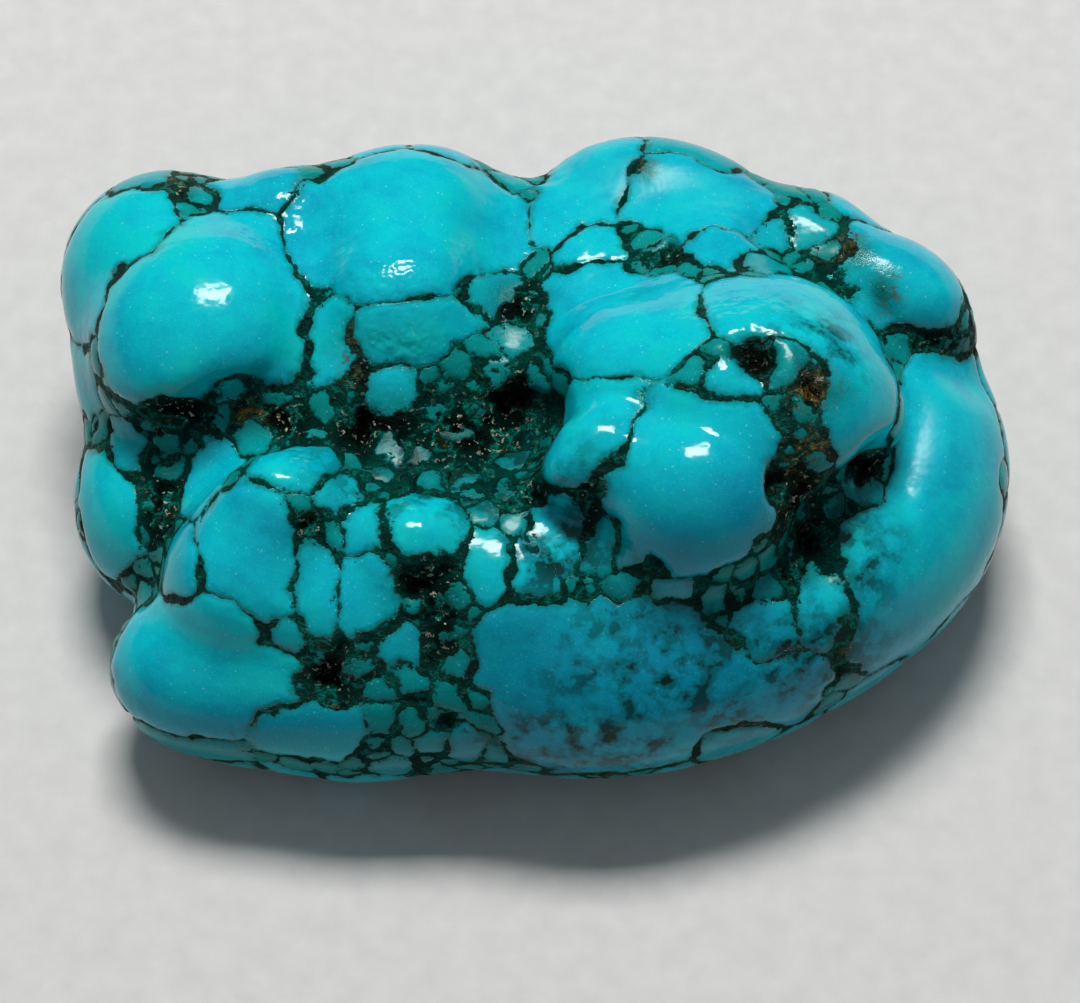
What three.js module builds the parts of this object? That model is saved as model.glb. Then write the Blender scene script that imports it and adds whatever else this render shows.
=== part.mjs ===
// A tumbled turquoise nugget: one stone, built as a body with rounded bosses grown onto it and hollows worn into it.
// Units are millimetres. X runs along the stone, Y towards its back and Z up from the surface it rests on.
import * as THREE from "three";
import { mergeVertices } from "three/addons/utils/BufferGeometryUtils.js";

// Driving dimensions of the finished stone.
const stoneLength = 59;
const stoneDepth = 40.5;
const stoneHeight = 26;

// How finely the skin is divided: the mesh has 20 * (skinDetail + 1)^2 triangles.
const skinDetail = 19;
// The skin starts where straight lines out of a plate inside the stone leave it. These are the plate's half sizes.
const coreHalf = new THREE.Vector3(15, 7, 1.5);
const coreHeight = 9.5;
// Past this distance from the core there is no stone.
const reach = 26;
const stride = 0.35;
const halvings = 22;
// Then its points are spaced evenly over the surface, this many times.
const evenRounds = 40;
const evenShare = 0.6;
const gradientStep = 0.02;

// The underside is worn flat. Its edge is eased over this width.
const flatEase = 1.6;
const flatSnap = 0.03;

// Bosses: where each is centred, its half sizes, its turn about the vertical in degrees,
// and how softly it runs into what came before it.
const bosses = [
  { name: "body", at: [0, 0.5, 8.4], half: [23, 14, 10.2], turn: 0, ease: 0 },
  { name: "back body", at: [1, 9.6, 9.4], half: [20.5, 8.6, 9.8], turn: -4, ease: 4 },
  { name: "front slope", at: [-4, -7.4, 9.8], half: [15, 7.6, 7.4], turn: 0, ease: 3 },
  { name: "front face", at: [3.5, -9.4, 7.6], half: [15, 9.6, 8.2], turn: 0, ease: 4 },
  { name: "right flank", at: [20.6, 0.6, 7.6], half: [8.6, 11.4, 8.6], turn: -8, ease: 4 },
  { name: "right front", at: [14.4, -7.2, 8.2], half: [8.8, 7.4, 8.2], turn: 20, ease: 4 },
  { name: "left flank", at: [-21, -0.4, 7], half: [7.2, 7.4, 7], turn: 0, ease: 3 },
  { name: "left foot", at: [-19.5, -12.3, 6.8], half: [6.2, 5, 5.6], turn: -12, ease: 2 },
  { name: "front foot", at: [-10.5, -12.8, 6.5], half: [9.5, 5.9, 6.5], turn: 0, ease: 3 },
  { name: "left link", at: [-22.4, 6, 10], half: [5.6, 5, 6.4], turn: 0, ease: 2 },
  { name: "left root", at: [-18.8, 3.6, 11.4], half: [5, 5, 5.2], turn: 0, ease: 2 },
  { name: "left shoulder", at: [-22.4, 12.4, 12.4], half: [6.8, 7, 7], turn: 0, ease: 3 },
  { name: "left boss", at: [-19.2, 6.1, 15.4], half: [7.5, 7.6, 6.7], turn: 0, ease: 1.6 },
  { name: "back link", at: [-15, 14.4, 13.4], half: [4.8, 4.2, 6.4], turn: 0, ease: 2 },
  { name: "back boss", at: [-7.3, 13.2, 13.4], half: [8.7, 7.1, 7.9], turn: 0, ease: 2 },
  { name: "back boss crest", at: [-7.8, 7.2, 15], half: [7.6, 5.6, 7.5], turn: 0, ease: 3 },
  { name: "saddle link", at: [-0.4, 13.8, 12.6], half: [4.2, 4.2, 4.8], turn: 0, ease: 2 },
  { name: "saddle slope", at: [2.8, 10.8, 11], half: [4.4, 8, 6.6], turn: -20, ease: 3 },
  { name: "back ridge", at: [8.8, 16.9, 12.1], half: [8, 4.4, 6.5], turn: -20, ease: 3 },
  { name: "upper knob", at: [10.8, 8.4, 12.8], half: [6.6, 9, 8], turn: 0, ease: 1.6 },
  { name: "right link", at: [16.8, 13, 12.4], half: [5.2, 4.8, 6.4], turn: -30, ease: 2 },
  { name: "right back boss", at: [20.4, 8.2, 12.6], half: [6.8, 6.4, 7], turn: 0, ease: 1.6 },
  { name: "crown", at: [13, -0.4, 16.8], half: [9.2, 7.2, 9.2], turn: 0, ease: 1.6 },
  { name: "crown back", at: [13, 3.8, 15.6], half: [8.6, 5.6, 7.8], turn: 0, ease: 2 },
  { name: "crown shoulder", at: [5.8, 0.8, 15.6], half: [7, 6.6, 7.9], turn: 0, ease: 2 },
  { name: "front brow", at: [-2, -10.2, 13.2], half: [4.6, 4, 4.6], turn: 0, ease: 1.8 },
  { name: "left brow", at: [-10.8, -10.6, 12], half: [4.6, 4, 4.6], turn: 0, ease: 2 },
  { name: "left middle boss", at: [-17.2, -8.6, 12], half: [4.8, 5.2, 5.6], turn: 0, ease: 2 },
  { name: "gully boss", at: [-14.6, -5.2, 15.2], half: [4.6, 4.2, 4.9], turn: 0, ease: 2 },
  { name: "middle boss", at: [-7, -8.4, 15], half: [4.2, 3.6, 4.3], turn: 0, ease: 1.6 },
  { name: "shelf boss", at: [-8.8, 1.6, 15.2], half: [4.4, 2.6, 4.4], turn: 0, ease: 1.2 },
  { name: "small knob", at: [3.7, -4.3, 19.8], half: [4.8, 3.4, 3.9], turn: -6, ease: 0.4 },
  { name: "large knob", at: [9.6, -6.2, 17.2], half: [6.2, 5.5, 7.1], turn: 0, ease: 0.4 },
  { name: "knob foot", at: [7, -8.8, 13.4], half: [4.6, 4, 5], turn: 0, ease: 1.6 },
];

// Hollows: rounded channels along a line of points, each with its own radius.
const hollows = [
  { name: "cavity", along: [[-11.8, -1.4, 22.4], [-6.5, -2.6, 21.4], [-1.8, -1.6, 20.6]], radius: 3.9, ease: 2.4 },
  { name: "left gully", along: [[-29, -1, 14.6], [-22, -2.2, 16], [-15, -0.4, 19.4]], radius: 2.5, ease: 1.6 },
  { name: "back valley", along: [[-1.2, 22, 19.8], [-0.6, 14, 20.6], [-1.6, 5, 21.6]], radius: 2.4, ease: 3 },
  { name: "back groove", along: [[14.6, 12.4, 20.6], [19, 8.2, 19.8], [22.6, 4.8, 17.8], [28, 5, 13.6]], radius: 1.6, ease: 1.4 },
  { name: "flank groove", along: [[22.6, 4.8, 17.4], [23.2, 1, 16.4], [21.8, -4, 15.8]], radius: 0.8, ease: 1.6 },
  { name: "boss valley", along: [[-13.6, 12, 21.6], [-13.3, 7, 21.6], [-13.4, 2.6, 20.2]], radius: 1.4, ease: 2 },
  { name: "recess", along: [[-1, -0.8, 21], [-0.8, -1, 17]], radius: 1.5, ease: 1.4 },
  { name: "right pool", along: [[20.4, -4.6, 18.6], [17.6, -7, 17.6], [16.8, -9.6, 16.4]], radius: 1.7, ease: 2.2 },
  { name: "crown pit", along: [[12.9, -3, 26], [13.3, -3.2, 24.2]], radius: 1.3, ease: 0.6 },
];

function ellipsoidDistance(point, boss) {
  const turn = THREE.MathUtils.degToRad(boss.turn);
  const dx = point[0] - boss.at[0];
  const dy = point[1] - boss.at[1];
  const x = (Math.cos(turn) * dx + Math.sin(turn) * dy) / boss.half[0];
  const y = (Math.cos(turn) * dy - Math.sin(turn) * dx) / boss.half[1];
  const z = (point[2] - boss.at[2]) / boss.half[2];
  const outward = Math.hypot(x, y, z);
  const slope = Math.hypot(x / boss.half[0], y / boss.half[1], z / boss.half[2]);
  return slope < 1e-9 ? -Math.min(...boss.half) : (outward * (outward - 1)) / slope;
}

function segmentDistance(point, start, end) {
  const along = start.map((value, axis) => end[axis] - value);
  const offset = point.map((value, axis) => value - start[axis]);
  const dot = (a, b) => a[0] * b[0] + a[1] * b[1] + a[2] * b[2];
  const share = THREE.MathUtils.clamp(dot(offset, along) / dot(along, along), 0, 1);
  return Math.hypot(...offset.map((value, axis) => value - share * along[axis]));
}

function hollowDistance(point, hollow) {
  let nearest = Infinity;
  for (let i = 1; i < hollow.along.length; i += 1) {
    nearest = Math.min(nearest, segmentDistance(point, hollow.along[i - 1], hollow.along[i]));
  }
  return nearest - hollow.radius;
}

// The smaller of a and b, with the corner between them rounded over the width ease.
function easedMin(a, b, ease) {
  if (ease <= 0) return Math.min(a, b);
  const overlap = Math.max(ease - Math.abs(a - b), 0) / ease;
  return Math.min(a, b) - (overlap * overlap * ease) / 4;
}

const easedMax = (a, b, ease) => -easedMin(-a, -b, ease);

// Distance to the stone's skin, negative inside it.
function stoneDistance(point) {
  let distance = Infinity;
  for (const boss of bosses) distance = easedMin(distance, ellipsoidDistance(point, boss), boss.ease);
  for (const hollow of hollows) distance = easedMax(distance, -hollowDistance(point, hollow), hollow.ease);
  return easedMax(distance, -point[2], flatEase);
}

// The outermost point of the skin that a ray from the core meets.
function skinPoint(direction) {
  const start = [direction.x * coreHalf.x, direction.y * coreHalf.y, coreHeight + direction.z * coreHalf.z];
  const at = (t) => [start[0] + direction.x * t, start[1] + direction.y * t, start[2] + direction.z * t];
  let inside = reach;
  while (inside > stride && stoneDistance(at(inside)) > 0) inside -= stride;
  let outside = inside + stride;
  for (let i = 0; i < halvings; i += 1) {
    const middle = (inside + outside) / 2;
    if (stoneDistance(at(middle)) > 0) outside = middle;
    else inside = middle;
  }
  return at(inside);
}

// Moves a point straight to the skin.
function settle(point) {
  const here = stoneDistance(point);
  const slope = [0, 1, 2].map((axis) => {
    const ahead = [...point];
    ahead[axis] += gradientStep;
    return (stoneDistance(ahead) - here) / gradientStep;
  });
  const steepness = slope[0] ** 2 + slope[1] ** 2 + slope[2] ** 2;
  return point.map((value, axis) => value - (here * slope[axis]) / Math.max(steepness, 0.2));
}

function neighboursOf(skin) {
  const found = Array.from({ length: skin.getAttribute("position").count }, () => new Set());
  const corners = skin.index.array;
  for (let i = 0; i < corners.length; i += 3) {
    for (let side = 0; side < 3; side += 1) {
      found[corners[i + side]].add(corners[i + ((side + 1) % 3)]);
      found[corners[i + ((side + 1) % 3)]].add(corners[i + side]);
    }
  }
  return found.map((near) => [...near]);
}

// Slides the points towards the middle of their neighbours, keeping them on the skin.
function spaceEvenly(points, neighbours) {
  let spaced = points;
  for (let round = 0; round < evenRounds; round += 1) {
    spaced = spaced.map((point, i) => {
      const near = neighbours[i];
      const middle = [0, 1, 2].map((axis) => near.reduce((sum, j) => sum + spaced[j][axis], 0) / near.length);
      return settle(point.map((value, axis) => value + evenShare * (middle[axis] - value)));
    });
  }
  return spaced.map((point) => settle(settle(point)));
}

function buildSkin() {
  const ball = new THREE.IcosahedronGeometry(1, skinDetail);
  ball.deleteAttribute("normal");
  ball.deleteAttribute("uv");
  const skin = mergeVertices(ball, 1e-4);
  const position = skin.getAttribute("position");
  const start = [];
  for (let i = 0; i < position.count; i += 1) {
    start.push(skinPoint(new THREE.Vector3().fromBufferAttribute(position, i).normalize()));
  }
  const points = spaceEvenly(start, neighboursOf(skin));
  points.forEach((point, i) => position.setXYZ(i, point[0], point[1], point[2] < flatSnap ? 0 : point[2]));
  return skin;
}

// Brings the skin to the driving dimensions, with its origin under its middle.
function fitToSize(skin) {
  skin.computeBoundingBox();
  const size = skin.boundingBox.getSize(new THREE.Vector3());
  const middle = skin.boundingBox.getCenter(new THREE.Vector3());
  skin.translate(-middle.x, -middle.y, -skin.boundingBox.min.z);
  skin.scale(stoneLength / size.x, stoneDepth / size.y, stoneHeight / size.z);
  return skin;
}

const turquoise = new THREE.MeshStandardMaterial({ color: 0x12a9b8, roughness: 0.28, metalness: 0 });

const nugget = new THREE.Mesh(fitToSize(buildSkin()), turquoise);
nugget.name = "turquoise_nugget";

const stone = new THREE.Group();
stone.add(nugget);

export default stone;
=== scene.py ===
import math
import random

import bmesh
import bpy
import numpy as np
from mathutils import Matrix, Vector, noise
from mathutils.bvhtree import BVHTree


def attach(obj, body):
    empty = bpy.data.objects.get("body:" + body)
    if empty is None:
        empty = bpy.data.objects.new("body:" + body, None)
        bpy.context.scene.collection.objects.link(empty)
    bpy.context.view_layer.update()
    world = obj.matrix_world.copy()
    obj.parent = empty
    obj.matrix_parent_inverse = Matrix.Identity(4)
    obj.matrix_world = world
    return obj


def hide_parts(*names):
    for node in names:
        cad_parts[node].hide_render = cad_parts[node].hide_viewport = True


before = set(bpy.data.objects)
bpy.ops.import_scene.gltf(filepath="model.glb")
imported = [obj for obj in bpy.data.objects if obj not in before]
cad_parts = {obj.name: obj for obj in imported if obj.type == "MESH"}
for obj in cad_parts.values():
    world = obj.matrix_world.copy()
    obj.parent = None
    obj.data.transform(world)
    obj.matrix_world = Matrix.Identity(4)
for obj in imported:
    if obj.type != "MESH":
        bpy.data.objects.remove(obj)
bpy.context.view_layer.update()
mm = 0.001
chance = random.Random(62)
noise.seed_set(62)

# The stone is laid out and framed from one place, in front and above. Lengths are in mm.
eye = {"elevationDeg": 62, "distance": 260, "aim": (0.4, -3.9, 10.9), "lens": 142}
eyeTilt = math.radians(eye["elevationDeg"])
eyeRight = np.array((1, 0, 0))
eyeUp = np.array((0, math.sin(eyeTilt), math.cos(eyeTilt)))
eyeBack = np.array((0, -math.cos(eyeTilt), math.sin(eyeTilt)))
eyePlace = np.array(eye["aim"]) + eyeBack * eye["distance"]


def linearColor(hexText):
    channels = [int(hexText[i : i + 2], 16) / 255 for i in (1, 3, 5)]
    return tuple(c / 12.92 if c <= 0.04045 else ((c + 0.055) / 1.055) ** 2.4 for c in channels) + (1.0,)


def smoothStep(low, high, value):
    share = np.clip((value - low) / (high - low), 0, 1)
    return share * share * (3 - 2 * share)


# Adds a node with its settings. Each input is given a plain value or the socket that feeds it.
def addNode(tree, kind, settings=None, inputs=None):
    node = tree.nodes.new("ShaderNode" + kind)
    for name, value in (settings or {}).items():
        setattr(node, name, value)
    for name, value in (inputs or {}).items():
        if isinstance(value, bpy.types.NodeSocket):
            tree.links.new(value, node.inputs[name])
        else:
            node.inputs[name].default_value = value
    return node


def setRamp(node, stops):
    ramp = node.color_ramp
    while len(ramp.elements) < len(stops):
        ramp.elements.new(0.5)
    for element, (place, color) in zip(ramp.elements, stops):
        element.position = place
        element.color = linearColor(color)


print("stage: fine copy of the stone")

nugget = {"node": "turquoise_nugget", "slot": "turquoise", "levels": 2, "merge": 0.01}


def fineCopy():
    merged = bmesh.new()
    merged.from_mesh(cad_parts[nugget["node"]].data)
    bmesh.ops.remove_doubles(merged, verts=merged.verts, dist=nugget["merge"] * mm)
    mesh = bpy.data.meshes.new("turquoiseNugget")
    merged.to_mesh(mesh)
    merged.free()
    mesh.materials.clear()
    piece = bpy.data.objects.new("turquoiseNugget", mesh)
    bpy.context.scene.collection.objects.link(piece)
    smoother = piece.modifiers.new("smoother", "SUBSURF")
    smoother.levels = smoother.render_levels = nugget["levels"]
    fine = bpy.data.meshes.new_from_object(piece.evaluated_get(bpy.context.evaluated_depsgraph_get()))
    piece.modifiers.clear()
    piece.data = fine
    return piece


stone = fineCopy()
pointCount = len(stone.data.vertices)
places = np.empty(pointCount * 3, np.float32)
stone.data.vertices.foreach_get("co", places)
places = places.reshape(-1, 3).astype(float) / mm
normals = np.empty(pointCount * 3, np.float32)
stone.data.vertices.foreach_get("normal", normals)
normals = normals.reshape(-1, 3).astype(float)
print("stage: points", pointCount)

# Seams wander, so the nodules are laid out on slightly warped places. Lengths are in mm.
warps = [{"size": 3.2, "amount": 0.55}, {"size": 1.1, "amount": 0.28}]
warped = places.copy()
for warp in warps:
    shifts = [noise.noise_vector(Vector(place / warp["size"])) for place in places]
    warped += warp["amount"] * np.array(shifts)

skin = BVHTree.FromPolygons(
    [tuple(place) for place in places], [tuple(face.vertices) for face in stone.data.polygons]
)


def seenPlace(across, up):
    target = np.array(eye["aim"]) + eyeRight * across + eyeUp * up
    toward = target - eyePlace
    hit = skin.ray_cast(Vector(eyePlace), Vector(toward / np.linalg.norm(toward)))[0]
    if hit is None:
        hit = skin.find_nearest(Vector(target))[0]
    return np.array(hit)


print("stage: nodules")

# Nodules as they lie when seen from the eye: across, up, half width, half height, turn in degrees.
# A nodule with several entries is one lump with several swellings.
noduleLayout = {
    "left bosses": [
        [(-25.6, 16.6, 3.6, 3.4, 0), (-28.0, 12.9, 2.0, 3.4, 0)],
        [(-24.5, 19.7, 2.2, 0.9, 8)],
        [(-20.6, 20.2, 1.3, 0.8, 0)],
        [(-17.4, 19.1, 2.7, 1.5, -10)],
        [(-21.3, 18.1, 0.9, 0.6, 0)],
        [
            (-20.7, 12.1, 6.4, 5.4, 0),
            (-18.6, 16.0, 3.2, 2.3, 0),
            (-15.6, 10.4, 2.0, 2.6, 0),
            (-24.2, 9.2, 3.2, 3.0, 0),
        ],
        [(-18.8, 7.0, 1.5, 1.1, 0)],
        [(-28.2, 7.8, 1.2, 2.6, 20)],
    ],
    "back bosses": [
        [
            (-8.5, 17.4, 4.7, 4.9, 0),
            (-4.3, 18.2, 3.6, 2.6, -10),
            (-3.9, 15.6, 2.8, 1.5, 0),
            (-14.2, 15.9, 1.9, 3.4, 0),
        ],
        [(-7.6, 10.9, 3.9, 1.3, 8), (-8.5, 9.5, 2.4, 1.2, 0)],
        [(-13.3, 9.6, 1.8, 2.1, 0)],
        [(-3.0, 12.8, 1.8, 1.1, 12)],
        [(-4.6, 13.1, 0.5, 0.4, 0)],
        [(-9.1, 6.7, 1.6, 2.0, 0)],
        [(-5.4, 8.2, 0.6, 0.5, 0)],
        [(-1.6, 10.0, 1.0, 0.7, 0)],
    ],
    "ridge": [
        [(3.2, 19.6, 2.6, 3.4, -35), (1.0, 17.4, 1.7, 2.2, -30)],
        [(3.1, 15.6, 1.9, 1.5, 20)],
        [(9.8, 21.4, 3.2, 0.9, -18)],
        [(9.6, 18.6, 4.6, 2.6, -8)],
        [(11.0, 15.9, 1.9, 1.5, 0)],
        [(14.0, 16.5, 1.2, 1.1, -30)],
        [(13.8, 14.5, 1.4, 0.8, -10)],
        [(14.7, 19.2, 1.9, 0.5, -32)],
        [(16.2, 16.9, 1.3, 1.0, -30)],
        [(17.5, 15.3, 0.6, 0.4, 0)],
        [(19.8, 13.2, 1.0, 0.7, 0)],
        [(22.2, 14.4, 3.4, 3.6, -30), (24.0, 12.4, 1.8, 2.4, -20)],
        [(23.5, 10.3, 0.8, 0.5, 0)],
    ],
    "crown": [
        [(5.2, 11.2, 4.8, 3.3, 0), (3.4, 12.9, 2.8, 1.8, 0), (1.6, 9.6, 1.4, 1.4, 0)],
        [
            (12.5, 12.3, 2.6, 2.6, 0),
            (17.4, 11.7, 3.9, 2.7, -20),
            (19.9, 6.4, 2.2, 4.0, 0),
            (11.9, 7.4, 1.8, 1.1, 0),
        ],
        [(15.0, 8.6, 0.8, 1.7, -15)],
        [(14.7, 6.1, 0.4, 0.5, 0)],
        [(16.3, 5.5, 0.6, 0.8, 0)],
        [(16.1, 4.2, 0.5, 0.6, 0)],
    ],
    "knobs": [
        [(3.2, 4.4, 3.7, 3.1, 0)],
        [(9.1, 1.5, 5.3, 4.9, 0), (7.6, -2.4, 3.4, 2.2, 0)],
        [(3.9, -2.7, 0.9, 1.6, -20)],
        [(2.9, -0.5, 0.5, 0.6, 0)],
        [(3.6, 0.8, 0.4, 0.5, 0)],
        [(5.4, -5.4, 0.8, 0.9, 0)],
        [(7.9, -5.6, 1.4, 1.1, 0)],
    ],
    "right flank": [
        [(25.0, 1.6, 3.7, 7.6, -5), (22.0, -5.4, 4.6, 4.6, 30)],
        [(18.3, -5.6, 2.8, 2.8, 0)],
        [(13.6, -8.2, 2.0, 2.0, 0)],
        [(15.8, -0.6, 0.6, 1.0, 0)],
        [(21.0, 2.2, 0.6, 0.7, 0)],
        [(14.1, -3.4, 0.6, 0.8, 0)],
        [(15.9, -3.1, 0.4, 0.6, 0)],
        [(14.1, -5.6, 1.0, 0.7, 0)],
    ],
    "left flank": [
        [(-26.5, -0.5, 1.9, 4.0, 5)],
        [(-25.2, 3.2, 1.2, 1.6, 0)],
        [(-22.8, 3.5, 0.6, 0.6, 0)],
        [(-19.9, 1.0, 1.5, 2.6, -12)],
        [(-18.1, 2.3, 0.5, 0.6, 0)],
        [(-17.5, 4.1, 0.8, 1.1, 0)],
        [(-22.2, -4.0, 1.3, 2.3, -15)],
        [(-24.3, -4.2, 0.6, 0.6, 0)],
    ],
    "middle": [
        [(-15.0, 2.3, 2.3, 1.9, 0)],
        [(-18.0, -2.6, 2.7, 3.1, 0), (-16.6, -6.4, 1.4, 1.0, 0)],
        [(-12.5, 0.6, 1.3, 1.3, 0)],
        [(-10.7, -1.6, 1.3, 1.4, 0)],
        [(-6.8, -1.2, 2.4, 2.0, 0)],
        [(-14.7, -0.2, 0.7, 0.6, 0)],
        [(-12.4, -1.9, 0.6, 0.9, 0)],
        [(-13.6, -5.5, 1.3, 2.9, 5)],
        [(-10.7, -5.8, 1.8, 2.4, 15)],
        [(-3.2, -4.0, 1.3, 2.3, 0)],
        [(-0.3, -4.4, 1.4, 2.2, 0)],
        [(1.3, -1.8, 1.8, 2.2, -20)],
        [(-1.3, -1.3, 0.8, 0.7, 0)],
        [(-7.4, -3.9, 0.5, 0.4, 0)],
        [(-9.1, 3.6, 0.8, 0.9, 0)],
        [(-7.3, 3.1, 0.5, 0.6, 0)],
        [(-5.0, 4.2, 1.4, 0.7, 0)],
        [(-8.0, 4.7, 0.4, 0.4, 0)],
        [(-1.7, 0.6, 0.8, 0.6, 0)],
    ],
    "front": [
        [(-8.4, -8.8, 1.2, 1.2, 0)],
        [(-9.4, -7.6, 0.6, 0.6, 0)],
        [(-10.5, -8.6, 0.5, 0.5, 0)],
        [(-11.3, -10.1, 1.2, 0.8, 0)],
        [(-8.1, -10.9, 1.0, 0.7, 0)],
        [(-9.9, -11.6, 0.7, 0.8, 0)],
        [(-9.7, -13.2, 0.9, 0.6, 0)],
        [(-7.8, -13.5, 0.8, 0.6, 0)],
        [(-4.8, -9.8, 1.0, 0.9, 0)],
        [(-5.5, -11.8, 0.6, 1.2, 0)],
        [(-5.5, -8.2, 0.7, 0.5, 0)],
        [(-3.7, -11.8, 0.8, 0.6, 0)],
        [(-8.5, -15.1, 0.7, 0.8, 0)],
        [(-6.8, -14.7, 0.9, 1.1, 0)],
        [(-4.6, -14.8, 1.0, 1.1, 0)],
        [(-2.8, -15.4, 0.6, 0.8, 0)],
        [
            (-0.4, -9.8, 3.2, 3.8, 0),
            (6.4, -10.4, 3.9, 4.4, 0),
            (10.4, -10.9, 3.2, 3.0, 0),
            (14.6, -11.6, 2.8, 2.4, 20),
            (3.6, -14.9, 5.4, 1.7, 0),
        ],
        [(12.4, -14.6, 2.6, 1.2, 14)],
    ],
    "left foot": [
        [(-21.5, -10.0, 4.9, 4.1, -8), (-17.6, -10.8, 3.0, 2.5, 0)],
        [(-15.6, -8.4, 1.4, 1.1, 0)],
        [(-15.0, -11.2, 0.7, 1.0, 0)],
        [(-14.2, -13.9, 3.2, 1.6, -4)],
        [(-21.6, -14.9, 3.4, 0.8, -8)],
    ],
}

# Nodules that touch lie in different layers, so that the seam between them can be found. Lengths are in mm.
layers = {"count": 6, "far": 4.0, "squareness": 2.6, "touch": 0.5, "largest": 3.0, "reach": 1.3}
laidOut = {"stretch": 1.04, "depth": 1.35, "tint": (0.3, 0.7)}
filledIn = {"flatness": (0.65, 1.0), "depth": 1.3, "tint": (0.25, 0.75), "seenFrom": 0.15}
fields = np.full((layers["count"], pointCount), layers["far"])
nearest = np.full(pointCount, layers["far"])
tint = np.full(pointCount, 0.5)
size = np.full(pointCount, layers["largest"])


# Signed distance in mm from a swelling's skin, along the line to its middle.
def swellingDistance(swelling, points):
    offset = points - swelling["at"]
    shape = np.abs(offset @ swelling["axes"].T) / swelling["half"]
    power = layers["squareness"]
    scaled = (shape**power).sum(1) ** (1 / power)
    reach = np.linalg.norm(offset, axis=1)
    return reach - reach / np.maximum(scaled, 1e-6)


def addNodule(swellings, shade):
    middle = np.mean([s["at"] for s in swellings], axis=0)
    spread = max(np.linalg.norm(s["at"] - middle) + max(s["half"]) for s in swellings)
    reach = spread * layers["reach"] + layers["far"]
    near = np.nonzero(np.linalg.norm(warped - middle, axis=1) < reach)[0]
    if not len(near):
        return 0
    found = np.min([swellingDistance(s, warped[near]) for s in swellings], axis=0)
    touching = near[found < layers["touch"]]
    clashes = [(fields[k, touching] < layers["touch"]).sum() for k in range(layers["count"])]
    layer = int(np.argmin(clashes))
    owned = near[found < nearest[near]]
    tint[owned] = shade
    size[owned] = min(max(min(s["half"][:2]) for s in swellings), layers["largest"])
    fields[layer, near] = np.minimum(fields[layer, near], found)
    nearest[near] = np.minimum(nearest[near], found)
    return clashes[layer]


clashCount = 0
for group in noduleLayout.values():
    for entry in group:
        swellings = []
        for across, up, halfWide, halfTall, turn in entry:
            angle = math.radians(turn)
            along = eyeRight * math.cos(angle) + eyeUp * math.sin(angle)
            aside = eyeUp * math.cos(angle) - eyeRight * math.sin(angle)
            halfDeep = laidOut["depth"] * max(halfWide, halfTall)
            half = np.array((halfWide * laidOut["stretch"], halfTall * laidOut["stretch"], halfDeep))
            axes = np.array((along, aside, eyeBack))
            swellings.append({"at": seenPlace(across, up), "axes": axes, "half": half})
        clashCount += addNodule(swellings, chance.uniform(*laidOut["tint"]))

# The sides that the layout leaves bare are filled at random, largest nodules first.
# The last two fillers are crumbs in the matrix, on every side.
fillers = [
    {"tries": 260, "half": (4.5, 6.5), "gap": 0.8, "seenToo": False},
    {"tries": 700, "half": (2.2, 4.0), "gap": 0.75, "seenToo": False},
    {"tries": 1600, "half": (1.0, 2.0), "gap": 0.7, "seenToo": False},
    {"tries": 2200, "half": (0.5, 1.0), "gap": 0.8, "seenToo": True},
    {"tries": 2200, "half": (0.28, 0.45), "gap": 1.2, "seenToo": True},
]
facing = normals @ eyeBack
fillerCount = 0
for filler in fillers:
    for _ in range(filler["tries"]):
        index = chance.randrange(pointCount)
        half = chance.uniform(*filler["half"])
        if nearest[index] < half * filler["gap"]:
            continue
        isSeen = facing[index] > filledIn["seenFrom"] and nearest[index] < layers["far"] - 0.1
        if isSeen and not filler["seenToo"]:
            continue
        normal = Vector(normals[index])
        along = normal.orthogonal().normalized()
        spin = chance.uniform(0, math.pi)
        aside = normal.cross(along)
        first = along * math.cos(spin) + aside * math.sin(spin)
        second = normal.cross(first)
        swelling = {
            "at": warped[index],
            "axes": np.array((first, second, normal)),
            "half": np.array((half, half * chance.uniform(*filledIn["flatness"]), half * filledIn["depth"])),
        }
        clashCount += addNodule([swelling], chance.uniform(*filledIn["tint"]))
        fillerCount += 1
print("stage: fillers", fillerCount, "clashes", clashCount)

print("stage: hollows and zones")

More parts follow.
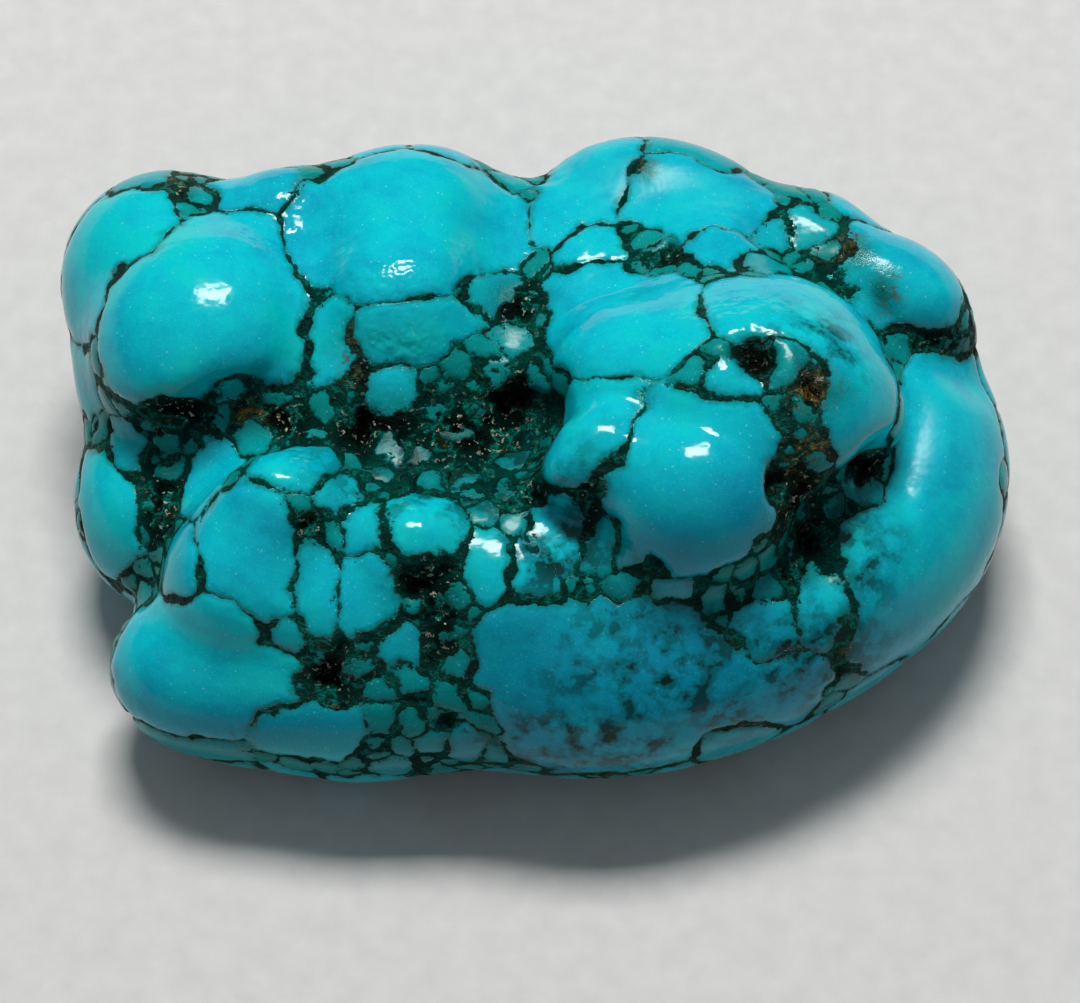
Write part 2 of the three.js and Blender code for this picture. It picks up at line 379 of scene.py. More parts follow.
# Soft zones, as seen from the eye: across, up, half width, half height.
zones = {
    "pool": [
        (-21.7, 19.0, 0.9, 0.7),
        (-21.9, 5.4, 3.0, 1.3),
        (-16.1, 5.2, 2.8, 1.3),
        (-9.8, 4.6, 3.4, 1.8),
        (-4.8, 4.2, 4.2, 2.4),
        (-1.6, 6.6, 1.6, 2.0),
        (-1.4, 12.2, 2.0, 1.8),
        (19.4, 15.2, 1.2, 1.2),
        (20.9, 12.8, 0.9, 1.6),
        (16.7, 6.8, 1.9, 1.8),
        (15.8, 0.2, 1.9, 3.2),
        (20.0, 2.2, 1.6, 1.0),
        (24.2, 9.8, 2.2, 0.8),
        (-6.0, -6.6, 1.4, 3.2),
        (-7.9, -4.9, 1.3, 1.0),
        (-12.5, -10.3, 1.9, 1.8),
        (-23.1, 0.2, 1.3, 2.6),
        (-14.0, -1.4, 1.0, 0.9),
        (13.1, 9.0, 1.2, 1.2),
        (2.9, 0.0, 0.9, 2.2),
        (15.6, -4.5, 1.4, 0.9),
        (7.4, 15.0, 1.4, 0.6),
        (6.4, 20.4, 0.8, 0.8),
        (-1.0, 0.6, 2.0, 1.0),
        (-11.0, 7.6, 0.9, 1.4),
    ],
    "loose": [
        (-9.5, -1.0, 7.0, 4.5),
        (-7.5, -9.5, 5.5, 5.5),
        (-12.8, -5.0, 3.5, 4.0),
        (1.0, -2.6, 3.0, 3.0),
        (-13.0, 6.6, 5.5, 3.5),
        (-22.0, 0.0, 3.0, 5.0),
        (-3.0, 9.0, 4.0, 3.5),
        (16.0, -6.0, 4.0, 4.0),
        (15.5, 6.0, 3.0, 2.5),
        (17.5, 16.0, 4.0, 1.6),
    ],
    "tight": [
        (10.0, 18.0, 8.0, 5.0),
        (6.0, 10.5, 7.0, 4.5),
        (-9.0, 16.0, 7.0, 4.0),
        (25.0, 2.0, 4.0, 8.0),
        (3.0, 18.0, 4.0, 4.0),
        (-20.0, -12.0, 6.0, 3.0),
    ],
    "satin": [
        (4.8, 19.6, 3.6, 2.4),
        (9.6, 19.4, 3.6, 1.8),
        (25.0, 3.6, 2.6, 4.6),
    ],
    "peel": [
        (-9.0, 14.2, 3.0, 2.4),
        (-16.0, 15.6, 1.6, 3.2),
        (12.0, 10.8, 2.6, 2.2),
        (-8.5, 9.6, 3.0, 1.2),
        (-15.5, 3.2, 2.2, 1.4),
    ],
    "web": [
        (7.5, -10.5, 6.0, 4.5),
        (16.0, -9.0, 4.5, 3.5),
        (17.0, 9.3, 2.4, 2.2),
        (3.0, -14.5, 7.0, 1.8),
        (19.0, -3.0, 2.4, 4.0),
        (-5.0, 2.0, 7.0, 3.0),
        (1.0, -3.0, 3.0, 3.0),
    ],
    # Front and lower faces painted darker and bluer: partly the stone's own deeper blue, partly painted
    # shade on faces turned from the window.
    "bluerAndShaded": [
        (0.5, -10.5, 5.5, 5.0),
        (7.5, -10.5, 8.5, 5.5),
        (17.0, -9.5, 7.0, 4.5),
        (8.6, -2.6, 5.5, 3.0),
        (12.5, -0.5, 3.0, 3.5),
        (-16.0, -13.5, 8.0, 2.0),
        (-2.0, -15.5, 9.0, 2.0),
    ],
    "rust": [
        (16.7, 2.6, 1.6, 1.4),
        (14.3, -1.3, 1.0, 0.8),
        (21.4, 12.8, 0.8, 1.3),
        (6.4, 20.4, 0.8, 0.7),
        (-18.3, -14.7, 1.1, 0.7),
        (11.4, -13.2, 2.0, 0.8),
        (18.3, 15.9, 1.6, 1.0),
        (-18.0, 5.6, 1.0, 0.7),
        (-11.6, 8.9, 0.7, 1.3),
        (16.7, 6.7, 1.6, 1.4),
        (3.7, -16.4, 7.0, 0.7),
        (-22.0, 20.0, 1.2, 0.8),
    ],
}
zoneDepth = 1.6  # half depth of a zone, against its larger half width
zoneShares = {}
for zone, spots in zones.items():
    share = np.zeros(pointCount)
    for across, up, halfWide, halfTall in spots:
        offset = places - seenPlace(across, up)
        spot = np.hypot(offset @ eyeRight / halfWide, offset @ eyeUp / halfTall)
        spot = np.hypot(spot, offset @ eyeBack / (zoneDepth * max(halfWide, halfTall)))
        share = np.maximum(share, np.exp(-(spot**2)))
    zoneShares[zone] = share

# Sizes of the soft noises in mm. The hidden sides get their webbed and rusty patches from the broadest.
waves = {"broad": 9.0, "uneven": 2.5, "crumble": 0.9, "pitEdge": 0.8}
hidden = smoothStep(0.25, -0.1, facing)
broad = np.array([noise.noise(Vector(place / waves["broad"])) for place in places])
zoneShares["web"] = np.maximum(zoneShares["web"], hidden * smoothStep(0.05, 0.35, broad))
zoneShares["rust"] = np.maximum(zoneShares["rust"], hidden * smoothStep(0.1, 0.4, -broad) * 0.8)

# Nodules grow until they meet, so that only thin seams are left between them, except in the pools of matrix.
growth = {"closed": 0.75, "open": 0.0, "uneven": 0.3, "loose": 0.5}
unevenness = np.array([noise.noise(Vector(place / waves["uneven"])) for place in places])
loosened = np.maximum(zoneShares["pool"], growth["loose"] * zoneShares["loose"])
grown = growth["open"] + (growth["closed"] - growth["open"]) * (1 - loosened)
fields -= grown + growth["uneven"] * unevenness

# Deep pits in the matrix, as seen from the eye: across, up, radius, depth.
pits = [
    (13.1, 9.0, 1.3, 1.2),
    (12.4, 8.8, 0.5, 0.6),
    (-1.5, 6.2, 1.2, 1.5),
    (7.7, 15.2, 0.8, 0.5),
    (19.8, 2.1, 0.9, 0.8),
    (-7.8, -4.9, 0.9, 0.9),
    (-5.8, -13.2, 0.6, 0.5),
    (-13.1, -10.9, 0.9, 0.6),
    (6.8, -3.9, 0.6, 0.5),
    (10.1, -5.0, 0.5, 0.5),
    (17.0, 6.6, 0.8, 0.7),
    (-11.0, 4.6, 0.9, 0.8),
    (14.6, 1.0, 0.9, 0.9),
    (16.4, -2.2, 0.9, 0.8),
]
pitShape = {"raggedness": 0.45, "bare": 0.8}  # shares of a pit's radius
pitWarp = np.array([noise.noise_vector(Vector(place / waves["pitEdge"])) for place in places])
pitDepth = np.zeros(pointCount)
for across, up, radius, depth in pits:
    shifted = warped + pitShape["raggedness"] * radius * pitWarp
    away = np.linalg.norm(shifted - seenPlace(across, up), axis=1)
    pitDepth = np.maximum(pitDepth, depth * np.exp(-((away / radius) ** 2)))
    fields = np.maximum(fields, pitShape["bare"] * radius - away)
ordered = np.sort(fields, axis=0)
edge = np.minimum(-ordered[0], (ordered[1] - ordered[0]) / 2)

print("stage: relief")

# Heights and widths in mm.
relief = {
    "pillow": 0.1,
    "pillowReach": 0.3,
    "groove": 0.08,
    "grooveWidth": 0.3,
    "pool": 0.5,
    "poolEdge": 0.8,
    "crumble": 0.3,
    "fold": 0.11,
    "foldWander": 1.4,
    "foot": 1.2,
}
inside = np.maximum(edge, 0)
outside = np.maximum(-edge, 0)
crumble = np.array([noise.turbulence(Vector(place / waves["crumble"]), 3, True) for place in places])
shoulder = relief["pillowReach"] * size + 0.1
height = relief["pillow"] * (size / layers["largest"]) ** 0.5 * (1 - np.exp(-inside / shoulder))
height -= relief["groove"] * np.exp(-((inside / relief["grooveWidth"]) ** 2))
height -= relief["pool"] * smoothStep(0, relief["poolEdge"], outside)
height -= relief["crumble"] * (crumble - 0.3) * smoothStep(0, 0.3, outside)
height -= pitDepth

# Fine folds run down from the back ridge into the saddle.
# Across, up, half width, half height, turn in degrees, spacing.
folds = [(2.6, 17.4, 3.2, 4.0, 46, 1.15), (-1.6, 16.4, 1.6, 3.4, 70, 0.9)]
for across, up, halfWide, halfTall, turn, spacing in folds:
    offset = places - seenPlace(across, up)
    share = np.exp(-((offset @ eyeRight / halfWide) ** 2) - (offset @ eyeUp / halfTall) ** 2)
    share *= facing > 0
    angle = math.radians(turn)
    aside = offset @ eyeRight * math.sin(angle) - offset @ eyeUp * math.cos(angle)
    aside += relief["foldWander"] * unevenness
    height -= relief["fold"] * share * (0.5 + 0.5 * np.sin(math.tau * aside / spacing)) ** 2

# Nothing swells out near the foot, and nothing sinks below the floor.
aboveFoot = smoothStep(0.0, relief["foot"], places[:, 2])
height = np.where(height > 0, height * aboveFoot, height)
shaped = places + normals * height[:, None]
shaped[:, 2] = np.maximum(shaped[:, 2], 0)
stone.data.vertices.foreach_set("co", (shaped * mm).astype(np.float32).ravel())
stone.data.update()
stone.data.polygons.foreach_set("use_smooth", np.ones(len(stone.data.polygons), bool))

# The material reads these at each point: shares from 0 to 1, then the distance from each layer's nodules.
pointShares = {
    "tint": tint,
    "lump": smoothStep(0.3, 1.6, size),
    # The pit share sets painted shade, darker the deeper the pit.
    "pit": smoothStep(0.1, 0.8, pitDepth),
    **zoneShares,
}
for name, values in pointShares.items():
    stone.data.attributes.new(name, "FLOAT", "POINT").data.foreach_set("value", values.astype(np.float32))
for name, rows in {"nodulesA": fields[:3], "nodulesB": fields[3:]}.items():
    layer = stone.data.attributes.new(name, "FLOAT_VECTOR", "POINT")
    layer.data.foreach_set("vector", rows.T.astype(np.float32).ravel())

print("stage: polished turquoise")

turquoiseColors = {
    "blues": [(0.0, "#0095ae"), (0.35, "#00a7b9"), (0.65, "#00b1bd"), (1.0, "#00b8b7")],
    # Painted shade, partly a real deeper blue, for the front faces.
    "bluerShadedFront": "#007c9c",
    "crumb": "#017c78",
    "pool": "#015248",
    "fleck": "#4cd6de",
    "halo": "#026a60",
    "dust": "#9fe0dc",
    "webCloud": "#02595d",
    "webCore": "#02281f",
    "stain": "#4c4128",
    "matrix": [
        (0.4, "#000201"),
        (0.48, "#010a06"),
        (0.52, "#023426"),
        (0.55, "#02786a"),
        (0.58, "#02382a"),
        (0.62, "#0a1408"),
        (0.68, "#4c4a1c"),
    ],
    "rust": [(0.36, "#080604"), (0.46, "#2b200a"), (0.54, "#634a18"), (0.64, "#8c7a40"), (0.76, "#bba882")],
    # Pale grains, partly a painted glint.
    "grainAndGlint": "#c0c2ac",
    "faintSeam": "#024c42",
    # Painted shade in the pits.
    "pit": "#010201",
}

# Widths in mm. A pair goes from where the soft noise is low to where it is high.
seams = {"halfWidth": (-0.07, 0.26), "tighter": -0.17, "softness": 0.1, "poolSoftness": 0.2, "halo": 0.5}
raggedness = {"least": 0.3, "loose": 0.15, "pool": 0.6, "eaten": -0.3}

# Turquoise takes a high polish, and the matrix stays duller. A pair of shines is for turquoise and matrix.
gloss = {
    "ior": 1.44,
    "polish": (0.08, 0.16),
    "satin": 0.3,
    "crumb": 0.22,
    "matrix": 0.4,
    "shine": (0.27, 0.07),
    "crumbShine": 0.4,
}

# Heights in mm of the relief that is too fine for the mesh.
fineRelief = {
    "rim": 0.06,
    "matrix": 0.7,
    "grainAndGlint": 0.26,
    "pool": 0.15,
    "waviness": 0.03,
    "orangePeel": 0.14,
    "grain": 0.0022,
}

# Scales in waves per mm. Real grain is too fine to show, so it is drawn at about a tenth of a mm.
patterns = {
    "broad": {"Scale": 0.1, "Detail": 2.0},
    "seamWidth": {"Scale": 0.4, "Detail": 3.0},
    "ragged": {"Scale": 1.3, "Detail": 5.0, "Roughness": 0.7},
    "mottle": {"Scale": 0.5, "Detail": 4.0, "Roughness": 0.6},
    "patches": {"Scale": 0.65, "Detail": 3.0, "Roughness": 0.5},
    "matrix": {"Scale": 1.7, "Detail": 4.0, "Roughness": 0.7},
    "grainAndGlint": {"Scale": 2.6, "Detail": 2.0, "Roughness": 0.65},
    "grain": {"Scale": 8.0, "Detail": 2.0, "Roughness": 0.7},
    "peel": {"Scale": 1.4, "Detail": 1.0},
}
webCells = {"wanderScale": 1.0, "wander": 0.25, "scale": 0.8}
dustScale = 1.8

# Settings of the nodes that are used over and over.
product = {"operation": "MULTIPLY"}
productSum = {"operation": "MULTIPLY_ADD"}
total = {"operation": "ADD"}
difference = {"operation": "SUBTRACT"}
smaller = {"operation": "MINIMUM"}
larger = {"operation": "MAXIMUM"}
smooth = {"interpolation_type": "SMOOTHSTEP"}
colorMix = {"data_type": "RGBA"}
numberMix = {"data_type": "FLOAT"}
placeMix = {"data_type": "VECTOR"}


# Polished turquoise: glossy blue-green nodules with softer, rough, dark matrix sunk between them.
# A Map Range takes its value, from low, from high, to low and to high, in that order.
def makeTurquoise():
    material = bpy.data.materials.new("polishedTurquoise")
    material.use_nodes = True
    tree = material.node_tree
    tree.nodes.clear()
    objectPlace = addNode(tree, "TexCoord").outputs["Object"]
    place = addNode(tree, "VectorMath", {"operation": "SCALE"}, {0: objectPlace, "Scale": 1 / mm}).outputs[0]
    noises = {}
    for name, inputs in patterns.items():
        noises[name] = addNode(tree, "TexNoise", None, {"Vector": place, **inputs}).outputs[0]
    shares = {}
    for name in pointShares:
        shares[name] = addNode(tree, "Attribute", {"attribute_name": name}).outputs["Fac"]

    # The two nearest nodules, found by going through the layers one by one.
    distances = []
    for name in ("nodulesA", "nodulesB"):
        vector = addNode(tree, "Attribute", {"attribute_name": name}).outputs["Vector"]
        distances += addNode(tree, "SeparateXYZ", None, {0: vector}).outputs[:]
    first = addNode(tree, "Math", smaller, {0: distances[0], 1: distances[1]}).outputs[0]
    second = addNode(tree, "Math", larger, {0: distances[0], 1: distances[1]}).outputs[0]
    for distance in distances[2:]:
        farther = addNode(tree, "Math", larger, {0: first, 1: distance}).outputs[0]
        second = addNode(tree, "Math", smaller, {0: second, 1: farther}).outputs[0]
        first = addNode(tree, "Math", smaller, {0: first, 1: distance}).outputs[0]
    gap = addNode(tree, "Math", difference, {0: second, 1: first}).outputs[0]
    halfGap = addNode(tree, "Math", product, {0: gap, 1: 0.5}).outputs[0]
    depthIn = addNode(tree, "Math", product, {0: first, 1: -1.0}).outputs[0]
    edgeDistance = addNode(tree, "Math", smaller, {0: halfGap, 1: depthIn}).outputs[0]

    # Ragged edges: the distance is shifted by fine noise before it is cut off, most of all in the pools.
    inputs = {0: shares["loose"], 1: raggedness["loose"], 2: raggedness["least"]}
    looseAmount = addNode(tree, "Math", productSum, inputs).outputs[0]
    inputs = {0: shares["pool"], 1: raggedness["pool"], 2: looseAmount}
    raggedAmount = addNode(tree, "Math", productSum, inputs).outputs[0]
    inputs = {0: noises["ragged"], 1: 0.2, 2: 0.8, 3: -0.5, 4: 0.5}
    raggedWave = addNode(tree, "MapRange", smooth, inputs).outputs[0]
    raggedShift = addNode(tree, "Math", product, {0: raggedWave, 1: raggedAmount}).outputs[0]
    raggedEdge = addNode(tree, "Math", total, {0: edgeDistance, 1: raggedShift}).outputs[0]
    inputs = {0: shares["pool"], 1: raggedness["eaten"], 2: raggedEdge}
    raggedEdge = addNode(tree, "Math", productSum, inputs).outputs[0]

    # Seams: matrix up to their half width, then a soft edge and a dark halo in the turquoise.
    inputs = {0: noises["seamWidth"], 1: 0.36, 2: 0.66, 3: seams["halfWidth"][0], 4: seams["halfWidth"][1]}
    seamHalf = addNode(tree, "MapRange", smooth, inputs).outputs[0]
    inputs = {0: shares["tight"], 1: seams["tighter"], 2: seamHalf}
    seamHalf = addNode(tree, "Math", productSum, inputs).outputs[0]
    inputs = {0: shares["pool"], 1: seams["poolSoftness"], 2: seams["softness"]}
    softness = addNode(tree, "Math", productSum, inputs).outputs[0]
    seamEnd = addNode(tree, "Math", total, {0: seamHalf, 1: softness}).outputs[0]
    inputs = {0: raggedEdge, 1: seamHalf, 2: seamEnd, 3: 1.0, 4: 0.0}
    seamShare = addNode(tree, "MapRange", smooth, inputs).outputs[0]
    pastSeam = addNode(tree, "Math", difference, {0: raggedEdge, 1: seamHalf}).outputs[0]
    inputs = {0: pastSeam, 1: 0.0, 2: seams["halo"], 3: 0.8, 4: 0.0}
    haloShare = addNode(tree, "MapRange", smooth, inputs).outputs[0]

    # Dark specks spread from the seams into the nodules, fewer the farther in.
    farIn = addNode(tree, "Math", productSum, {0: shares["loose"], 1: -0.25, 2: edgeDistance}).outputs[0]
    farIn = addNode(tree, "Math", larger, {0: farIn, 1: 0.0}).outputs[0]
    speck = addNode(tree, "Math", productSum, {0: farIn, 1: -0.3, 2: noises["matrix"]}).outputs[0]
    speckShare = addNode(tree, "MapRange", smooth, {0: speck, 1: 0.58, 2: 0.63, 3: 0.0, 4: 0.9}).outputs[0]
    matrixShare = addNode(tree, "Math", larger, {0: seamShare, 1: speckShare}).outputs[0]

    # The blue-green itself: each nodule has its own tint, with broad and fine mottling over it.
    tintSum = addNode(tree, "Math", productSum, {0: shares["tint"], 1: 0.5, 2: noises["broad"]}).outputs[0]
    tintSum = addNode(tree, "Math", total, {0: noises["mottle"], 1: tintSum}).outputs[0]
    tintShare = addNode(tree, "MapRange", smooth, {0: tintSum, 1: 0.82, 2: 1.68}).outputs[0]
    blueRamp = addNode(tree, "ValToRGB", None, {0: tintShare})
    setRamp(blueRamp, turquoiseColors["blues"])
    # Painted shade, partly a real deeper blue: the front and lower faces are painted darker and bluer.
    bluerShadedFrontShare = addNode(tree, "Math", product, {0: shares["bluerAndShaded"], 1: 0.8}).outputs[0]
    crumbShare = addNode(tree, "Math", difference, {0: 1.0, 1: shares["lump"]}).outputs[0]
    poolShare = addNode(tree, "Math", product, {0: shares["pool"], 1: 0.85}).outputs[0]
    inputs = {0: noises["grain"], 1: 0.56, 2: 0.72, 3: 0.0, 4: 0.22}
    fleckShare = addNode(tree, "MapRange", smooth, inputs).outputs[0]

    # A few pale specks of dust and chalky turquoise in the polish.
    dust = addNode(tree, "TexVoronoi", None, {"Vector": place, "Scale": dustScale}).outputs["Distance"]
    dustSpot = addNode(tree, "MapRange", smooth, {0: dust, 1: 0.07, 2: 0.14, 3: 0.22, 4: 0.0}).outputs[0]
    dusty = addNode(tree, "MapRange", smooth, {0: noises["patches"], 1: 0.42, 2: 0.5}).outputs[0]
    dustShare = addNode(tree, "Math", product, {0: dustSpot, 1: dusty}).outputs[0]

    # A soft web of teal lines and clouds with dark cores, where the nodules break up into small cells.
    fineMix = addNode(tree, "Math", product, {0: noises["matrix"], 1: 0.3}).outputs[0]
    matrixMix = addNode(tree, "Math", productSum, {0: noises["patches"], 1: 0.7, 2: fineMix}).outputs[0]
    inputs = {"Vector": place, "Scale": webCells["wanderScale"], "Detail": 3.0}
    wander = addNode(tree, "TexNoise", None, inputs).outputs["Color"]
    webPlace = addNode(tree, "Mix", placeMix, {0: webCells["wander"], 4: place, 5: wander}).outputs[1]
    inputs = {"Vector": webPlace, "Scale": webCells["scale"]}
    cells = addNode(tree, "TexVoronoi", {"feature": "DISTANCE_TO_EDGE"}, inputs).outputs["Distance"]
    webLine = addNode(tree, "MapRange", smooth, {0: cells, 1: 0.0, 2: 0.28, 3: 1.0, 4: 0.0}).outputs[0]
    webPatch = addNode(tree, "MapRange", smooth, {0: noises["patches"], 1: 0.4, 2: 0.54}).outputs[0]
    webLine = addNode(tree, "Math", product, {0: webLine, 1: webPatch}).outputs[0]
    inputs = {0: matrixMix, 1: 0.42, 2: 0.54, 3: 0.0, 4: 0.85}
    webCloud = addNode(tree, "MapRange", smooth, inputs).outputs[0]
    webCloud = addNode(tree, "Math", larger, {0: webLine, 1: webCloud}).outputs[0]
    webCloud = addNode(tree, "Math", product, {0: webCloud, 1: shares["web"]}).outputs[0]
    webCore = addNode(tree, "MapRange", smooth, {0: matrixMix, 1: 0.53, 2: 0.58}).outputs[0]
    webCore = addNode(tree, "Math", product, {0: webCore, 1: shares["web"]}).outputs[0]
    inputs = {0: noises["matrix"], 1: 0.5, 2: 0.62, 3: 0.0, 4: 0.8}
    stainSpot = addNode(tree, "MapRange", smooth, inputs).outputs[0]
    stainShare = addNode(tree, "Math", product, {0: shares["rust"], 1: stainSpot}).outputs[0]

    # Each of these is laid over the blue-green in its own share.
    overlays = {
        "bluerShadedFront": bluerShadedFrontShare,
        "crumb": crumbShare,
        "pool": poolShare,
        "fleck": fleckShare,
        "halo": haloShare,
        "dust": dustShare,
        "webCloud": webCloud,
        "webCore": webCore,
        "stain": stainShare,
    }
    blue = blueRamp.outputs[0]
    for name, share in overlays.items():
        inputs = {0: share, 6: blue, 7: linearColor(turquoiseColors[name])}
        blue = addNode(tree, "Mix", colorMix, inputs).outputs[2]

    # The matrix: green and black patches, with rust in places and pale grains in the pools, partly painted
    # glints of light.
    matrixRamp = addNode(tree, "ValToRGB", None, {0: matrixMix})
    setRamp(matrixRamp, turquoiseColors["matrix"])
    rustRamp = addNode(tree, "ValToRGB", None, {0: noises["matrix"]})
    setRamp(rustRamp, turquoiseColors["rust"])
    rustPatch = addNode(tree, "MapRange", smooth, {0: noises["patches"], 1: 0.34, 2: 0.5}).outputs[0]
    rusty = addNode(tree, "Math", product, {0: shares["rust"], 1: rustPatch}).outputs[0]
    inputs = {0: rusty, 6: matrixRamp.outputs[0], 7: rustRamp.outputs[0]}
    matrixColor = addNode(tree, "Mix", colorMix, inputs).outputs[2]
    # Pale specks in the pools: partly pale mineral grains, partly painted glints of light.
    inputs = {0: noises["grainAndGlint"], 1: 0.62, 2: 0.64, 3: 0.0, 4: 0.9}
    grainAndGlint = addNode(tree, "MapRange", smooth, inputs).outputs[0]
    grainAndGlintShare = addNode(tree, "Math", product, {0: grainAndGlint, 1: shares["pool"]}).outputs[0]
    inputs = {0: grainAndGlintShare, 6: matrixColor, 7: linearColor(turquoiseColors["grainAndGlint"])}
    matrixColor = addNode(tree, "Mix", colorMix, inputs).outputs[2]

    # Thin seams let the turquoise shine through, but not in the pools.
    inputs = {0: noises["seamWidth"], 1: 0.42, 2: 0.58, 3: 0.85, 4: 0.4}
    faint = addNode(tree, "MapRange", smooth, inputs).outputs[0]
    notPool = addNode(tree, "Math", difference, {0: 1.0, 1: shares["pool"]}).outputs[0]
    faint = addNode(tree, "Math", product, {0: faint, 1: notPool}).outputs[0]
    inputs = {0: faint, 6: matrixColor, 7: linearColor(turquoiseColors["faintSeam"])}
    matrixColor = addNode(tree, "Mix", colorMix, inputs).outputs[2]
    color = addNode(tree, "Mix", colorMix, {0: matrixShare, 6: blue, 7: matrixColor}).outputs[2]
    # Painted shade: pits are painted nearer black the deeper they sink, over the black matrix.
    pitShare = addNode(tree, "Math", product, {0: shares["pit"], 1: 0.85}).outputs[0]
    inputs = {0: pitShare, 6: color, 7: linearColor(turquoiseColors["pit"])}
    color = addNode(tree, "Mix", colorMix, inputs).outputs[2]

    # Gloss: polished nodules, duller where they are small and rough in the matrix.
    inputs = {0: noises["mottle"], 1: 0.3, 2: 0.7, 3: gloss["polish"][0], 4: gloss["polish"][1]}
    polish = addNode(tree, "MapRange", smooth, inputs).outputs[0]
    polish = addNode(tree, "Math", productSum, {0: shares["satin"], 1: gloss["satin"], 2: polish}).outputs[0]
    polish = addNode(tree, "Mix", numberMix, {0: shares["lump"], 2: gloss["crumb"], 3: polish}).outputs[0]
    roughness = addNode(tree, "Mix", numberMix, {0: matrixShare, 2: polish, 3: gloss["matrix"]}).outputs[0]
    inputs = {0: matrixShare, 1: 0.2, 2: 0.9, 3: gloss["shine"][0], 4: gloss["shine"][1]}
    shine = addNode(tree, "MapRange", smooth, inputs).outputs[0]
    inputs = {0: shares["lump"], 1: 0.0, 2: 0.7, 3: gloss["crumbShine"], 4: 1.0}
    lumpShine = addNode(tree, "MapRange", smooth, inputs).outputs[0]
    shine = addNode(tree, "Math", product, {0: shine, 1: lumpShine}).outputs[0]

    # Fine relief: seams cut in, grains stand out, and the polish has a slight orange peel in places.
    inputs = {0: raggedEdge, 1: -0.1, 2: 0.2, 3: 0.0, 4: fineRelief["rim"]}
    height = addNode(tree, "MapRange", smooth, inputs).outputs[0]
    rough = addNode(tree, "Math", product, {0: noises["matrix"], 1: fineRelief["matrix"]}).outputs[0]
    inputs = {0: noises["grainAndGlint"], 1: fineRelief["grainAndGlint"], 2: rough}
    rough = addNode(tree, "Math", productSum, inputs).outputs[0]
    height = addNode(tree, "Math", productSum, {0: rough, 1: matrixShare, 2: height}).outputs[0]
    poolWaves = addNode(tree, "Math", product, {0: noises["ragged"], 1: shares["pool"]}).outputs[0]
    peelWaves = addNode(tree, "Math", product, {0: noises["peel"], 1: shares["peel"]}).outputs[0]
    swells = {
        "pool": poolWaves,
        "waviness": noises["peel"],
        "orangePeel": peelWaves,
        "grain": noises["grain"],
    }
    for name, swell in swells.items():
        height = addNode(tree, "Math", productSum, {0: swell, 1: fineRelief[name], 2: height}).outputs[0]
    bump = addNode(tree, "Bump", None, {"Strength": 1.0, "Distance": mm, "Height": height}).outputs[0]
    surface = {
        "Base Color": color,
        "Roughness": roughness,
        "IOR": gloss["ior"],
        "Specular IOR Level": shine,
        "Normal": bump,
    }
    shader = addNode(tree, "BsdfPrincipled", None, surface).outputs[0]
    addNode(tree, "OutputMaterial", None, {"Surface": shader})
    return material


stone.data.materials.append(makeTurquoise())
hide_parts(nugget["node"])
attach(stone, "root")

print("stage: paper, light and camera")

paper = {"flat": 900, "bend": 600, "rise": 800, "steps": 96, "bendSteps": 12, "tooth": 0.06}


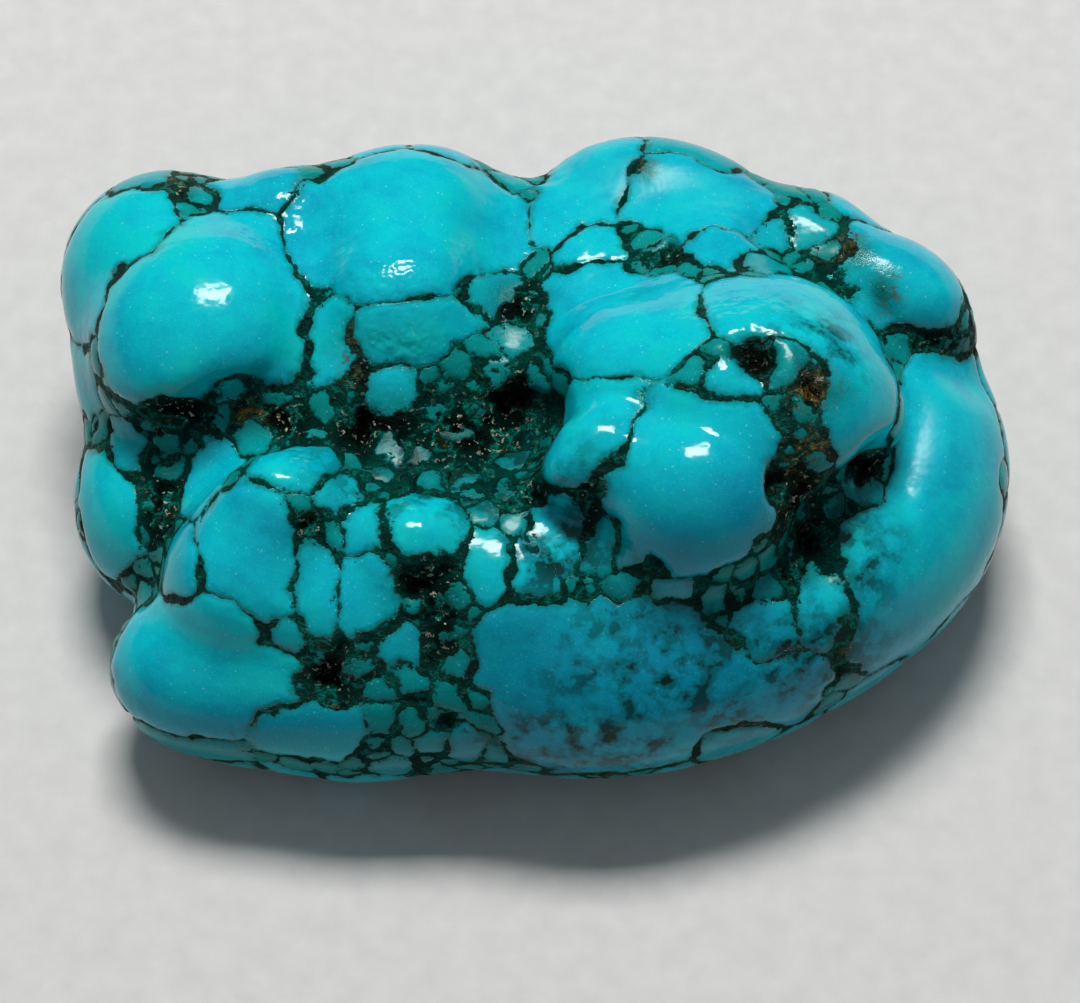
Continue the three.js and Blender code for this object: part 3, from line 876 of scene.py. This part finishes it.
# Matte pale paper with a faint tooth of 1 to 2 mm, rising into a wall all round. It keeps the shadow soft.
def makePaper():
    material = bpy.data.materials.new("mattePaper")
    material.use_nodes = True
    tree = material.node_tree
    tree.nodes.clear()
    objectPlace = addNode(tree, "TexCoord").outputs["Object"]
    place = addNode(tree, "VectorMath", {"operation": "SCALE"}, {0: objectPlace, "Scale": 1 / mm}).outputs[0]
    tooth = addNode(tree, "TexNoise", None, {"Vector": place, "Scale": 0.6, "Detail": 5.0}).outputs[0]
    ramp = addNode(tree, "ValToRGB", None, {0: tooth})
    setRamp(ramp, [(0.3, "#c0c0c0"), (0.7, "#c8c8c7")])
    bump = addNode(tree, "Bump", None, {"Strength": 0.5, "Distance": paper["tooth"] * mm, "Height": tooth})
    surface = {
        "Base Color": ramp.outputs[0],
        "Roughness": 0.85,
        "Specular IOR Level": 0.2,
        "Normal": bump.outputs[0],
    }
    shader = addNode(tree, "BsdfPrincipled", None, surface).outputs[0]
    addNode(tree, "OutputMaterial", None, {"Surface": shader})

    # Half of the paper's outline, spun round: flat, then bent up into the wall.
    profile = [(0, 0), (paper["flat"], 0)]
    for step in range(1, paper["bendSteps"] + 1):
        angle = math.pi / 2 * step / paper["bendSteps"]
        across = paper["flat"] + paper["bend"] * math.sin(angle)
        profile.append((across, paper["bend"] * (1 - math.cos(angle))))
    profile.append((profile[-1][0], paper["rise"]))
    bowl = bmesh.new()
    points = [bowl.verts.new((across * mm, 0, up * mm)) for across, up in profile]
    edges = [bowl.edges.new(pair) for pair in zip(points, points[1:])]
    bmesh.ops.spin(
        bowl,
        geom=points + edges,
        axis=(0, 0, 1),
        cent=(0, 0, 0),
        angle=math.tau,
        steps=paper["steps"],
        use_merge=True,
    )
    bmesh.ops.remove_doubles(bowl, verts=bowl.verts, dist=0.01 * mm)
    bmesh.ops.recalc_face_normals(bowl, faces=bowl.faces)
    mesh = bpy.data.meshes.new("paper")
    bowl.to_mesh(mesh)
    bowl.free()
    mesh.polygons.foreach_set("use_smooth", np.ones(len(mesh.polygons), bool))
    mesh.materials.append(material)
    floor = bpy.data.objects.new("paper", mesh)
    bpy.context.scene.collection.objects.link(floor)


makePaper()

# One soft window behind and above the stone, and a dim cool room. Lengths are in mm.
windowLight = {
    "from": (-0.02, 0.39, 0.9),
    "away": 620,
    "width": 240,
    "height": 140,
    "watts": 4.3,
    "color": "#fffdfa",
}
room = {"color": "#dfe8ee", "strength": 0.3}


def makeLights():
    lamp = bpy.data.lights.new("window", "AREA")
    lamp.shape = "RECTANGLE"
    lamp.size = windowLight["width"] * mm
    lamp.size_y = windowLight["height"] * mm
    lamp.energy = windowLight["watts"]
    lamp.color = linearColor(windowLight["color"])[:3]
    toward = Vector(windowLight["from"]).normalized()
    window = bpy.data.objects.new("window", lamp)
    window.location = toward * windowLight["away"] * mm
    window.rotation_euler = toward.to_track_quat("Z", "Y").to_euler()
    window.visible_camera = False
    bpy.context.scene.collection.objects.link(window)
    world = bpy.data.worlds.new("room")
    world.use_nodes = True
    world.node_tree.nodes.clear()
    glow = {"Color": linearColor(room["color"]), "Strength": room["strength"]}
    sky = addNode(world.node_tree, "Background", None, glow)
    addNode(world.node_tree, "OutputWorld", None, {"Surface": sky.outputs[0]})
    bpy.context.scene.world = world


makeLights()


def makeCamera():
    camera = bpy.data.objects.new("camera", bpy.data.cameras.new("camera"))
    camera.data.lens = eye["lens"]
    camera.data.sensor_width = 36
    camera.data.clip_start = mm
    camera.data.clip_end = 20
    camera.location = Vector(eyePlace) * mm
    camera.rotation_euler = Vector(eyeBack).to_track_quat("Z", "Y").to_euler()
    bpy.context.scene.collection.objects.link(camera)
    bpy.context.scene.camera = camera


makeCamera()
bpy.context.scene.view_settings.view_transform = "Standard"

print("stage: done")
